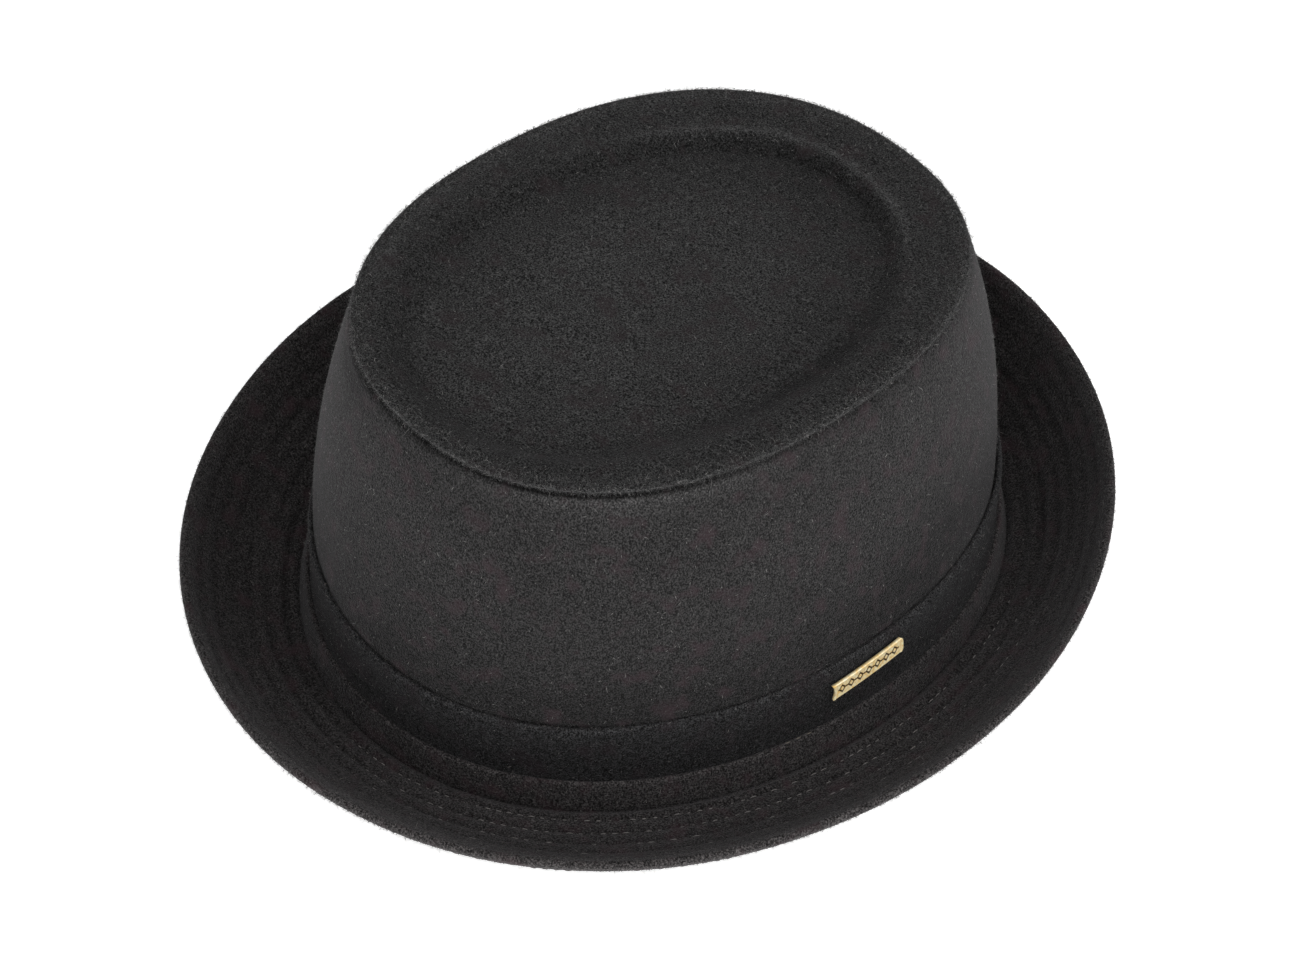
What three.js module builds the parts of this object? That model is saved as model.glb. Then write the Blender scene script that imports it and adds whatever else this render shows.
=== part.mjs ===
// A pork pie hat in wool felt cloth, in millimetres.
// +Z is up, the front is at -Y and the wearer's left is at +X. The hat rests on Z = 0.

import * as THREE from "three";

// Cloth thickness and the clearance between sewn pieces
const CROWN_CLOTH = 2;
const BAND_CLOTH = 1.5;
const BRIM_CLOTH = 2.5;
const GAP = 0.3;

// How far the brim's cloth is pressed flat where the hat rests
const PRESSED = 0.6;

// Crown, outside sizes at the brim's valley and at the tip seam
const BASE_LENGTH = 205.8;
const BASE_WIDTH = 175.3;
const SEAM_LENGTH = 180;
const SEAM_WIDTH = 143.3;
const WALL_BOW = 5.6;
const FRONT_WIDER = 0.02;
const BASE_SQUARENESS = 2;
const SEAM_SQUARENESS = 2.25;

// Heights above the valley where the brim meets the crown
const CROWN_HEIGHT = { front: 105.9, side: 101.7, back: 104 };
const VALLEY_RISE = { front: 0, side: 5.8, back: 0 };
const LIP_HEIGHT = 8.7;
const BAND_TOP = 29.4;
const BAND_FOOT_OUT = 1;
const CROWN_FOOT = 5;

// Tip: the flat rim, the fall into the recess and the floor. The recess is pressed in by hand, off
// centre: the rim's width is given for every 30 degrees from the wearer's left round by the back.
const RIM_WIDTHS = [13, 16.5, 19, 19.5, 19.5, 20, 18, 13.5, 9.5, 6, 9, 12.5];
const RIM_WAVES = 4;
const RIM_RISE = 2.2;
const FALL_WIDTH = 4.8;
const RECESS_DEPTH = 3.2;
const FLOOR_START = 2;
const FLOOR_DOME = 1.2;

// Brim from the valley to the edge, measured along the cloth, with its slope at both ends
const BRIM_WIDTH = { front: 36.7, side: 36.9, back: 40.3 };
const ROOT_SLOPE = { front: 12, side: 12.7, back: 42.5 };
const EDGE_SLOPE = { front: 60, side: 62.9, back: 73.9 };
const SLOPE_GATHER = 1.77;
const VALLEY_OUT = 7.1;
const VALLEY_FLAT = 3.4;
const LIP_OUT = 4.1;
const LIP_ROUND = 0.8;
const RING_FACE = 3.2;
const EDGE_ROUND = 1;

// Gilt plate on the band, at the wearer's left
const PLATE_LENGTH = 26.6;
const PLATE_HEIGHT = 5.8;
const PLATE_THICKNESS = 1.2;
const PLATE_CORNER = 0.8;
const PLATE_BEVEL = 0.3;
const PLATE_AHEAD = 4.3;
const PLATE_UP = 0.62;
const PLATE_TILT = 4.8;

// Facets round the hat and along the brim
const AROUND = 72;
const BRIM_STEPS = 10;

const TURNS = Array.from({ length: AROUND }, (_, i) => (i / AROUND) * 2 * Math.PI);

const mix = (from, to, share) => from + (to - from) * share;

// A value that changes smoothly from the front, over the sides, to the back.
// A turn of 0 is the wearer's left, and a quarter turn is the back.
function sway({ front, side, back }) {
  const middle = (front + back) / 4 + side / 2;
  const tilt = (back - front) / 2;
  const saddle = (2 * side - front - back) / 4;
  return (turn) => middle + tilt * Math.sin(turn) + saddle * Math.cos(2 * turn);
}

const valleyRise = sway(VALLEY_RISE);
const crownHeight = sway(CROWN_HEIGHT);
const brimWidth = sway(BRIM_WIDTH);
const rootSlope = sway(ROOT_SLOPE);
const edgeSlope = sway(EDGE_SLOPE);

// Height of the valley's upper face, and of the tip seam, over the surface below
const valleyTop = (turn) => BRIM_CLOTH - PRESSED + valleyRise(turn);
const seamTop = (turn) => valleyTop(turn) + crownHeight(turn);

// A point on a squared oval that is a little wider at the front
function ovalPoint(turn, halfLength, halfWidth, squareness, height) {
  const c = Math.cos(turn);
  const s = Math.sin(turn);
  const power = 2 / squareness;
  const x = halfWidth * Math.sign(c) * Math.abs(c) ** power * (1 - FRONT_WIDER * s);
  const y = halfLength * Math.sign(s) * Math.abs(s) ** power;
  return new THREE.Vector3(x, y, height);
}

// A point at a height and a distance outside the crown wall
function wallPoint(turn, height, outward) {
  const share = (height - valleyTop(turn)) / crownHeight(turn);
  const bow = WALL_BOW * 4 * share * (1 - share);
  const halfLength = mix(BASE_LENGTH, SEAM_LENGTH, share) / 2 + bow + outward;
  const halfWidth = mix(BASE_WIDTH, SEAM_WIDTH, share) / 2 + bow + outward;
  const squareness = mix(BASE_SQUARENESS, SEAM_SQUARENESS, share);
  return ovalPoint(turn, halfLength, halfWidth, squareness, height);
}

// The level direction straight out of the crown's foot
function outwardAt(turn) {
  const step = 0.01;
  const before = wallPoint(turn - step, valleyTop(turn), VALLEY_OUT);
  const after = wallPoint(turn + step, valleyTop(turn), VALLEY_OUT);
  return new THREE.Vector3(after.y - before.y, before.x - after.x, 0).normalize();
}

// A solid skinned over rings of points. A loop of rings joins its last ring to its first.
// Without the loop, both end rings are closed over their middle point.
function skin(rings, loop) {
  const points = rings.flat();
  const faces = [];
  const last = loop ? rings.length : rings.length - 1;
  for (let r = 0; r < last; r += 1) {
    const low = r * AROUND;
    const high = ((r + 1) % rings.length) * AROUND;
    for (let i = 0; i < AROUND; i += 1) {
      const j = (i + 1) % AROUND;
      faces.push(low + i, low + j, high + j);
      faces.push(low + i, high + j, high + i);
    }
  }
  if (!loop) {
    for (const [ring, first] of [[rings[0], 0], [rings.at(-1), last * AROUND]]) {
      const middle = ring.reduce((sum, p) => sum.add(p), new THREE.Vector3()).divideScalar(AROUND);
      const hub = points.push(middle) - 1;
      for (let i = 0; i < AROUND; i += 1) {
        const j = (i + 1) % AROUND;
        if (first === 0) faces.push(hub, first + j, first + i);
        else faces.push(hub, first + i, first + j);
      }
    }
  }
  const geometry = new THREE.BufferGeometry().setFromPoints(points);
  geometry.setIndex(faces);
  geometry.computeVertexNormals();
  return geometry;
}

// One ring per row of a profile, where a row gives a height and a distance outwards
function wallRings(rows) {
  return rows.map(({ height, out }) => TURNS.map((turn) => wallPoint(turn, height(turn), out)));
}

// Crown wall: up its outside, over its top and down its inside
function crownSide() {
  const foot = (turn) => valleyTop(turn) + CROWN_FOOT;
  const top = (turn) => seamTop(turn) - GAP;
  const shares = [0, 0.12, 0.25, 0.4, 0.55, 0.7, 0.85, 1];
  const at = (share) => (turn) => mix(foot(turn), top(turn), share);
  const outside = shares.map((share) => ({ height: at(share), out: 0 }));
  const inside = shares.map((share) => ({ height: at(share), out: -CROWN_CLOTH })).reverse();
  return skin(wallRings([...outside, ...inside]), true);
}

// Hat band: a strip with a soft folded upper edge, standing on the brim's lip
function hatBand() {
  const foot = LIP_HEIGHT + GAP;
  const outside = GAP + BAND_CLOTH;
  const fold = BAND_CLOTH / 3;
  const rows = [
    { above: foot, out: outside + BAND_FOOT_OUT },
    { above: mix(foot, BAND_TOP, 0.3), out: outside },
    { above: BAND_TOP - fold, out: outside },
    { above: BAND_TOP, out: outside - fold },
    { above: BAND_TOP, out: GAP + fold },
    { above: BAND_TOP - fold, out: GAP },
    { above: mix(foot, BAND_TOP, 0.5), out: GAP },
    { above: foot, out: GAP },
  ];
  const withHeight = ({ above, out }) => ({ height: (turn) => valleyTop(turn) + above, out });
  return skin(wallRings(rows.map(withHeight)), true);
}

// Width of the rim: its mean and the first waves round the hat that run through the widths
function rimWidth(turn) {
  const count = RIM_WIDTHS.length;
  let width = RIM_WIDTHS.reduce((sum, w) => sum + w, 0) / count;
  for (let k = 1; k <= RIM_WAVES; k += 1) {
    RIM_WIDTHS.forEach((w, i) => {
      width += (2 / count) * w * Math.cos(k * (turn - (i / count) * 2 * Math.PI));
    });
  }
  return width;
}

// Tip: each row gives the distance in from the seam and the height above it
function crownTip() {
  const upperRows = (rim, depth) => [
    [0, 0],
    [-0.2, 0.27 * RIM_RISE],
    [0.2, 0.5 * RIM_RISE],
    [0.1 * rim, 0.7 * RIM_RISE],
    [0.3 * rim, 0.9 * RIM_RISE],
    [0.6 * rim, RIM_RISE],
    [0.9 * rim, 0.88 * RIM_RISE],
    [rim + 0.12 * FALL_WIDTH, RIM_RISE - 0.25 * depth],
    [rim + 0.55 * FALL_WIDTH, RIM_RISE - 0.75 * depth],
    [rim + FALL_WIDTH, RIM_RISE - 0.97 * depth],
    [rim + FALL_WIDTH + FLOOR_START, RIM_RISE - depth],
  ];
  const lowerRows = (rim, depth) => [
    [CROWN_CLOTH, 0],
    [0.6 * rim, RIM_RISE - CROWN_CLOTH],
    [0.86 * rim, 0.82 * RIM_RISE - CROWN_CLOTH],
    [rim - 0.3 * CROWN_CLOTH, RIM_RISE - 0.25 * depth - 0.9 * CROWN_CLOTH],
    [rim + 0.55 * FALL_WIDTH - 0.5 * CROWN_CLOTH, RIM_RISE - 0.75 * depth - 0.85 * CROWN_CLOTH],
    [rim + FALL_WIDTH, RIM_RISE - 0.97 * depth - CROWN_CLOTH],
  ];
  const rings = (rows) => {
    const sections = TURNS.map((turn) => rows(rimWidth(turn), RECESS_DEPTH));
    return sections[0].map((_, k) => TURNS.map((turn, i) => {
      const [inset, rise] = sections[i][k];
      const halfLength = SEAM_LENGTH / 2 - inset;
      const halfWidth = SEAM_WIDTH / 2 - inset;
      return ovalPoint(turn, halfLength, halfWidth, SEAM_SQUARENESS, seamTop(turn) + rise);
    }));
  };
  // The floor closes in on the middle while it domes and loses the seam's sway
  const centre = new THREE.Vector3(0, 0, (seamTop(0) + seamTop(Math.PI / 2)) / 2);
  const floorRing = (outer, share, lift) => outer.map((p) => (
    p.clone().lerp(new THREE.Vector3(0, 0, centre.z + lift), 1 - share)
  ));
  const top = rings(upperRows);
  const under = rings(lowerRows);
  const dome = RIM_RISE - RECESS_DEPTH + FLOOR_DOME;
  const floorTop = [0.72, 0.45, 0.2].map((share) => floorRing(top.at(-1), share, dome));
  const floorUnder = [0.72, 0.45, 0.2].map((share) => (
    floorRing(under.at(-1), share, dome - CROWN_CLOTH)
  ));
  return skin([...floorUnder.reverse(), ...under.reverse(), ...top, ...floorTop], false);
}

// The brim's upper line from the valley outwards: reach, climb and slope at even steps
function brimLine(turn) {
  const stations = [{ reach: 0, climb: 0, slope: 0 }];
  const fine = 6;
  const piece = brimWidth(turn) / (BRIM_STEPS * fine);
  let reach = 0;
  let climb = 0;
  for (let i = 1; i <= BRIM_STEPS * fine; i += 1) {
    const share = (i - 0.5) / (BRIM_STEPS * fine);
    const slope = mix(rootSlope(turn), edgeSlope(turn), share ** SLOPE_GATHER);
    reach += piece * Math.cos(THREE.MathUtils.degToRad(slope));
    climb += piece * Math.sin(THREE.MathUtils.degToRad(slope));
    if (i % fine === 0) stations.push({ reach, climb, slope });
  }
  return stations;
}

// Brim: the sloped ring below the band, the valley, the upturned part and the underside
function brim() {
  const belt = [
    { above: 0.45 * LIP_HEIGHT, out: mix(VALLEY_OUT, LIP_OUT, 0.5) },
    { above: LIP_HEIGHT - LIP_ROUND, out: LIP_OUT },
    { above: LIP_HEIGHT, out: LIP_OUT - LIP_ROUND },
    { above: LIP_HEIGHT, out: GAP },
    { above: LIP_HEIGHT - RING_FACE, out: GAP },
  ];
  const beltRings = belt.map(({ above, out }) => (
    TURNS.map((turn) => wallPoint(turn, valleyTop(turn) + above, out))
  ));
  const lines = TURNS.map(brimLine);
  const place = (i, reach, height) => {
    const turn = TURNS[i];
    const root = wallPoint(turn, valleyTop(turn), VALLEY_OUT);
    const p = root.addScaledVector(outwardAt(turn), reach);
    return p.setZ(Math.max(0, valleyTop(turn) + height));
  };
  const upper = [];
  const lower = [];
  for (let k = 0; k <= BRIM_STEPS; k += 1) {
    upper.push(TURNS.map((_, i) => place(i, lines[i][k].reach, lines[i][k].climb)));
    if (k === 0) continue;
    lower.push(TURNS.map((_, i) => {
      const { reach, climb, slope } = lines[i][k];
      const lean = THREE.MathUtils.degToRad(slope);
      return place(i, reach + BRIM_CLOTH * Math.sin(lean), climb - BRIM_CLOTH * Math.cos(lean));
    }));
  }
  const edge = TURNS.map((_, i) => {
    const { reach, climb, slope } = lines[i][BRIM_STEPS];
    const lean = THREE.MathUtils.degToRad(slope);
    const out = EDGE_ROUND * Math.cos(lean) + (BRIM_CLOTH / 2) * Math.sin(lean);
    const up = EDGE_ROUND * Math.sin(lean) - (BRIM_CLOTH / 2) * Math.cos(lean);
    return place(i, reach + out, climb + up);
  });
  const sole = [-VALLEY_FLAT / 2, VALLEY_FLAT / 2].map((reach) => (
    TURNS.map((_, i) => place(i, reach, -BRIM_CLOTH))
  ));
  return skin([...sole, ...lower, edge, ...upper.reverse(), ...beltRings], true);
}

// Gilt plate: a rounded bar with small bevels, lying against the band
function bandPlate() {
  const halfLength = PLATE_LENGTH / 2 - PLATE_BEVEL;
  const halfHeight = PLATE_HEIGHT / 2 - PLATE_BEVEL;
  const corner = PLATE_CORNER;
  const outline = new THREE.Shape();
  outline.moveTo(-halfLength + corner, -halfHeight);
  outline.lineTo(halfLength - corner, -halfHeight);
  outline.quadraticCurveTo(halfLength, -halfHeight, halfLength, -halfHeight + corner);
  outline.lineTo(halfLength, halfHeight - corner);
  outline.quadraticCurveTo(halfLength, halfHeight, halfLength - corner, halfHeight);
  outline.lineTo(-halfLength + corner, halfHeight);
  outline.quadraticCurveTo(-halfLength, halfHeight, -halfLength, halfHeight - corner);
  outline.lineTo(-halfLength, -halfHeight + corner);
  outline.quadraticCurveTo(-halfLength, -halfHeight, -halfLength + corner, -halfHeight);
  const geometry = new THREE.ExtrudeGeometry(outline, {
    depth: PLATE_THICKNESS - 2 * PLATE_BEVEL,
    bevelEnabled: true,
    bevelThickness: PLATE_BEVEL,
    bevelSize: PLATE_BEVEL,
    bevelSegments: 1,
    curveSegments: 3,
  });
  geometry.translate(0, 0, PLATE_BEVEL);

  // The plate touches the band at its middle and lies along the band's face there
  const turn = Math.asin(-PLATE_AHEAD / (BASE_LENGTH / 2));
  const height = valleyTop(turn) + mix(LIP_HEIGHT + GAP, BAND_TOP, PLATE_UP);
  const out = GAP + BAND_CLOTH + GAP;
  const seat = wallPoint(turn, height, out);
  const along = wallPoint(turn + 0.02, height, out).sub(wallPoint(turn - 0.02, height, out));
  const up = wallPoint(turn, height + 1, out).sub(wallPoint(turn, height - 1, out));
  const facing = new THREE.Vector3().crossVectors(along, up).normalize();
  const level = along.normalize();
  const rise = new THREE.Vector3().crossVectors(facing, level);
  const turned = new THREE.Matrix4().makeBasis(level, rise, facing);
  geometry.rotateZ(THREE.MathUtils.degToRad(PLATE_TILT));
  geometry.applyMatrix4(turned.setPosition(seat));
  return geometry;
}

const CHARCOAL_FELT = { color: 0x3a3a3c, roughness: 0.95, metalness: 0 };
const BRIM_FELT = { color: 0x2c2a2c, roughness: 0.95, metalness: 0 };
const BAND_FELT = { color: 0x262528, roughness: 0.95, metalness: 0 };
const GILT = { color: 0xd9b978, roughness: 0.3, metalness: 1 };

function piece(name, geometry, finish) {
  const mesh = new THREE.Mesh(geometry, new THREE.MeshStandardMaterial(finish));
  mesh.name = name;
  return mesh;
}

const hat = new THREE.Group();
hat.name = "pork_pie_hat";
hat.add(piece("crown_tip", crownTip(), CHARCOAL_FELT));
hat.add(piece("crown_side", crownSide(), CHARCOAL_FELT));
hat.add(piece("hat_band", hatBand(), BAND_FELT));
hat.add(piece("brim", brim(), BRIM_FELT));
hat.add(piece("band_plate", bandPlate(), GILT));

// The box round the hat is centred over the origin
const middle = new THREE.Box3().setFromObject(hat).getCenter(new THREE.Vector3());
for (const mesh of hat.children) mesh.geometry.translate(-middle.x, -middle.y, 0);

export default hat;
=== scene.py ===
"""A pork pie hat in charcoal wool felt cloth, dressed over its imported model."""
import math

import bpy
import numpy as np
from mathutils import Matrix, Vector


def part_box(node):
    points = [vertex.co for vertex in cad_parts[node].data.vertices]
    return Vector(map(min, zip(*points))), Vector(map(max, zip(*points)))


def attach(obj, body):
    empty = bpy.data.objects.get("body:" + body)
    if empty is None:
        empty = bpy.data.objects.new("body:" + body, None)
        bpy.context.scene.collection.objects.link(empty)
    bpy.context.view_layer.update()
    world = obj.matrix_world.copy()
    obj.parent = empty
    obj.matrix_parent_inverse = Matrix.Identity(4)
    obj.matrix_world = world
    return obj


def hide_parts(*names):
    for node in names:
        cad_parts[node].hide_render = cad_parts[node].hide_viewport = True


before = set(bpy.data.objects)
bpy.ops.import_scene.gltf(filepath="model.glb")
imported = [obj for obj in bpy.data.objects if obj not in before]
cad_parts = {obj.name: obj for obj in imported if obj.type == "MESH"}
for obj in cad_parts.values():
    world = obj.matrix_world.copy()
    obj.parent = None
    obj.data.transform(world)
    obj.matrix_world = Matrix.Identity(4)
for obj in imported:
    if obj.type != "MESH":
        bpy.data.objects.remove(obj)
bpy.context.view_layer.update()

# All sizes below are millimetres, and meshes are laid in metres
MM = 0.001

# The oval's middle lies a little behind the middle of the whole hat
TIP_LOW, TIP_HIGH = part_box("crown_tip")
OVAL_Y = (TIP_LOW.y + TIP_HIGH.y) / 2 / MM

# Cloth thickness, clearance, and how far the brim is pressed flat where it rests
CROWN_CLOTH = 2.0
BAND_CLOTH = 1.5
BRIM_CLOTH = 2.5
GAP = 0.3
PRESSED = 0.6

# Crown, outside, at the brim's valley and at the tip seam
BASE_HALF = (102.9, 87.65)
SEAM_HALF = (90.0, 71.65)
WALL_BOW = 5.6
FRONT_WIDER = 0.02
BASE_SQUARENESS = 2.0
SEAM_SQUARENESS = 2.25

# Heights above the valley where the brim meets the crown
LIP_HEIGHT = 8.7
BAND_TOP = 29.4
CROWN_FOOT = 5.0

# Tip: flat rim, fall into the recess, floor. The recess is pressed in by hand, off centre: the
# rim's width is given for every 30 degrees from the wearer's left round by the back.
RIM_WIDTHS = (13.0, 16.5, 19.0, 19.5, 19.5, 20.0, 18.0, 13.5, 9.5, 6.0, 9.0, 12.5)
RIM_WAVES = 4
RIM_RISE = 2.2
FALL_WIDTH = 4.8
RECESS_DEPTH = 3.2
FLOOR_DOME = 1.2

# Brim: the valley's offset, the lip above it, and the rows of stitching from the edge
VALLEY_OUT = 7.1
LIP_OUT = 4.1
SLOPE_GATHER = 1.77
ROW_MARGIN = 4.7
ROW_SPACING = 5.5
ROW_DEPTHS = (0.06, 0.08, 0.12, 0.22, 0.38, 0.42)

# How many points go round the hat, and how many rings each face or section has
AROUND = 400
SIDE_ROWS = 72
SIDE_INNER_ROWS = 16
SHOULDER_POINTS = 26
FOLD_POINTS = 22
TIP_ROWS = 52
TIP_UNDER_ROWS = 20
BAND_POINTS = 60
BRIM_ROWS = 90
BRIM_UNDER_ROWS = 30
RING_POINTS = 48
PLATE_POINTS = (210, 52)


def sway(front, side, back):
    """A value that changes smoothly from the front, over the sides, to the back: a mean, a
    sine of the turn for the tilt, and a cosine of twice the turn for the saddle."""
    mean = (front + back) / 4 + side / 2
    tilt = (back - front) / 2
    saddle = (2 * side - front - back) / 4
    return lambda turn: mean + tilt * np.sin(turn) + saddle * np.cos(2 * turn)


crown_height = sway(105.9, 101.7, 104.0)
valley_rise = sway(0.0, 5.8, 0.0)
brim_width = sway(36.7, 36.9, 40.3)
root_slope = sway(12.0, 12.7, 42.5)
edge_slope = sway(60.0, 62.9, 73.9)


def valley_top(turn):
    """Height of the valley's upper face."""
    return BRIM_CLOTH - PRESSED + valley_rise(turn)


def seam_top(turn):
    """Height of the tip seam."""
    return valley_top(turn) + crown_height(turn)


def ease(share):
    """A smooth step from 0 to 1: three squares less two cubes."""
    share = np.clip(share, 0, 1)
    return share * share * (3 - 2 * share)


def mix(low, high, share):
    """The value a share of the way from low to high."""
    return low + (high - low) * share


def waver(turn, along, size, shift=0.0):
    """Hand-made unevenness: slow waves round the hat whose phase drifts along the cloth."""
    return size * (
        0.5 * np.sin(3 * turn + 0.031 * along + 1.1 + shift)
        + 0.3 * np.sin(7 * turn - 0.052 * along + 2.7 * shift)
        + 0.2 * np.sin(13 * turn + 0.083 * along + 2.0 - shift)
    )


def oval(turn, half_length, half_width, squareness):
    """x and y on a squared oval: a half axis times a power of the cosine or sine of the turn,
    with the front a little wider than the back."""
    c, s = np.cos(turn), np.sin(turn)
    power = 2 / squareness
    x = half_width * np.sign(c) * np.abs(c) ** power * (1 - FRONT_WIDER * s)
    y = half_length * np.sign(s) * np.abs(s) ** power
    return x, y + OVAL_Y


def crown_wall(turn, height, out):
    """A point at a height and a distance outside the crown's wall. The wall tapers in a
    straight line from the valley to the seam, with a parabola's bow added outwards."""
    share = (height - valley_top(turn)) / crown_height(turn)
    bow = WALL_BOW * 4 * share * (1 - share) + out
    x, y = oval(
        turn,
        mix(BASE_HALF[0], SEAM_HALF[0], share) + bow,
        mix(BASE_HALF[1], SEAM_HALF[1], share) + bow,
        mix(BASE_SQUARENESS, SEAM_SQUARENESS, share),
    )
    return np.stack(np.broadcast_arrays(x, y, height), -1)


def brim_run(turn, share):
    """Reach, climb and slope of the brim's line at a share of its width. The slope grows from
    the root to the edge by a power of the share, and the reach and climb are the means of its
    cosine and sine up to there, times the length run."""
    parts = (np.arange(24) + 0.5) / 24
    root, edge = root_slope(turn), edge_slope(turn)
    inner = share[..., None] * parts
    slope = np.radians(mix(root[..., None], edge[..., None], inner ** SLOPE_GATHER))
    run = brim_width(turn) * share
    here = np.radians(mix(root, edge, share ** SLOPE_GATHER))
    return run * np.cos(slope).mean(-1), run * np.sin(slope).mean(-1), here


def brim_point(turn, share, lift):
    """A point on the brim's upper face at a share of its width, lifted along the face's
    normal. It starts at the valley's line and runs out at right angles to it. Nothing goes
    below the surface that the hat rests on."""
    turn, share, lift = np.broadcast_arrays(turn, share, lift)
    reach, climb, slope = brim_run(turn, share)
    climb = climb + waver(turn, 60 * share, 0.5) * share ** 2
    root = crown_wall(turn, valley_top(turn), VALLEY_OUT)
    step = 0.01
    ahead = crown_wall(turn + step, valley_top(turn), VALLEY_OUT)
    behind = crown_wall(turn - step, valley_top(turn), VALLEY_OUT)
    tangent = (ahead - behind)[..., :2]
    tangent /= np.linalg.norm(tangent, axis=-1, keepdims=True)
    away = reach - lift * np.sin(slope)
    height = root[..., 2] + climb + lift * np.cos(slope)
    x = root[..., 0] + tangent[..., 1] * away
    y = root[..., 1] - tangent[..., 0] * away
    return np.stack([x, y, np.maximum(height, 0)], -1)


def open_sewn(turn):
    """Where the stitches lie open on the nap, from 0 to 1: round the front. Elsewhere they
    are sunk in soft furrows."""
    return ease(-0.2 + 1.4 * np.cos(turn - math.radians(330)))


def row_pull(turn, share):
    """How deep the sewn rows draw the brim's face in: a bell over each row, shallow near the
    edge and deeper towards the valley, wider where the stitches are sunk, and uneven round
    the hat."""
    from_edge = brim_width(turn) * (1 - share)
    sunk = 1 - open_sewn(turn)
    pull = 0
    for k, depth in enumerate(ROW_DEPTHS):
        bell = np.exp(-(((from_edge - ROW_MARGIN - k * ROW_SPACING) / (1.1 + 0.5 * sunk)) ** 2))
        pull = pull + bell * (depth + 0.24 * sunk) * (1 + waver(turn, 0, 0.6, 1.3 * k))
    return pull


def quilting(turn, share):
    """Height of the brim's face over its true line: plump between the sewn rows, drawn down
    a little at each of them and more at the valley's seam, with a low ridge beside it."""
    from_edge = brim_width(turn) * (1 - share)
    from_root = brim_width(turn) * share
    plump = 0.12 * ease(from_edge / 1.5) - row_pull(turn, share)
    ridge = 0.4 * np.exp(-(((from_root - 2.8) / 1.5) ** 2)) * (1 + waver(turn, 0, 0.7, 0.4))
    seam = ridge - 0.35 * np.exp(-((from_root / 1.3) ** 2))
    return plump + seam


# Turns round the hat, as one row that every grid below spreads over its own rows
TURNS = np.arange(AROUND) / AROUND * 2 * np.pi


def rows(count):
    """Even shares from 0 to 1 as a column, one for each row of a grid."""
    return np.linspace(0, 1, count)[:, None]


def flowing(stations, count, easing=6):
    """Even points along the line through the stations, with its corners eased: each point is
    replaced some times over by the mean of itself and its two neighbours."""
    stations = np.array(stations, float)
    lengths = np.r_[0, np.cumsum(np.linalg.norm(np.diff(stations, axis=0), axis=1))]
    even = np.linspace(0, lengths[-1], count)
    line = np.stack([np.interp(even, lengths, column) for column in stations.T], -1)
    for _ in range(easing):
        line[1:-1] = (line[:-2] + line[1:-1] + line[2:]) / 3
    return line


def lay_mesh(name, points, faces, painted_light_and_cut=None):
    """A mesh object from points in millimetres and faces, which are an array or a list. The last
    argument is a number for each point: on the cloth pieces it is their painted light and shade,
    from 0, darkest in the folds, to 1, lightest on the edges; on the gilt plate it is how deep the
    face is cut."""
    mesh = bpy.data.meshes.new(name)
    faces = faces.tolist() if isinstance(faces, np.ndarray) else faces
    mesh.from_pydata((points * MM).tolist(), [], faces)
    # Kept as a point attribute: painted light and shade on the cloth, and the depth of the cuts on
    # the plate
    if painted_light_and_cut is not None:
        mesh.attributes.new("painted_light_and_cut", "FLOAT", "POINT").data.foreach_set("value", painted_light_and_cut.ravel())
    mesh.polygons.foreach_set("use_smooth", np.ones(len(mesh.polygons), bool))
    mesh.update()
    piece = bpy.data.objects.new(name, mesh)
    bpy.context.scene.collection.objects.link(piece)
    return piece


def near_turn(degrees, wide, off=0.0, reach=1.0):
    """A soft patch on the hat, 1 at a turn in degrees and fading over a width in degrees. It
    also fades with an offset from its middle line, over a reach."""
    round_hat = np.exp((np.cos(TURNS - math.radians(degrees)) - 1) / math.radians(wide) ** 2)
    return round_hat * np.exp(-((off / reach) ** 2))


def ring_faces(count, around, loop):
    """Quads between each ring of points and the next, and from the last to the first where
    the rings make a loop."""
    low = np.arange(count if loop else count - 1)[:, None] * around
    high = (low + around) % (count * around)
    here = np.arange(around)
    there = (here + 1) % around
    return np.stack([low + here, low + there, high + there, high + here], -1).reshape(-1, 4)


def cloth_loop(name, grid, painted_light_and_cut):
    """A ring-shaped cloth piece, skinned over a loop of rings."""
    points = grid.reshape(-1, 3)
    return lay_mesh(name, points, ring_faces(len(grid), AROUND, True), painted_light_and_cut)


# The seam between crown side and tip

def seam_pull(turn):
    """How deep the tip seam is drawn in, from 0 to 1: deep round the front, slight at the
    wearer's left."""
    return mix(0.1, 1, ease(0.35 + 0.8 * np.cos(turn + math.radians(95))))


def drawn_section(slight, deep, count):
    """A section on every turn, between a slight and a deep one by the seam's pull. Stations
    are distances out of the wall and heights over the seam."""
    pull = seam_pull(TURNS)[:, None]
    return mix(flowing(slight, count, 2)[:, None], flowing(deep, count, 2)[:, None], pull)


# Crown side

SHOULDER = 5.0


def side_waver(height):
    """The wall's unevenness, which dies away towards the seam."""
    return waver(TURNS, height, 0.35) * ease((seam_top(TURNS) - height) / 20)


def side_shade(height):
    """How much painted shade darkens the side: just above the band, in a patch low at each side,
    and below the tip's seam, except at the front, where a painted highlight lies below the seam
    instead."""
    below = seam_top(TURNS) - height
    over_band = height - valley_top(TURNS) - BAND_TOP
    # Painted highlight below the seam at the front, and painted shade along the rest of the seam
    lit_front = np.exp(-(((np.cos(TURNS - math.radians(318)) - 1) / 0.16) ** 2))
    under_seam = np.exp(-(((below - 2) / 5) ** 2)) * mix(0.1, -0.22, lit_front)
    under_seam = under_seam + 0.6 * near_turn(243, 10, below - 3, 6)
    under_seam = under_seam - 0.4 * lit_front * np.exp(-(((below - 1) / 2) ** 2))
    sides = 0.46 * near_turn(20, 16, over_band, 34) + 0.16 * near_turn(260, 16, over_band, 60)
    return 0.04 + under_seam + 0.24 * np.exp(-((over_band / 18) ** 2)) + sides


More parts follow.
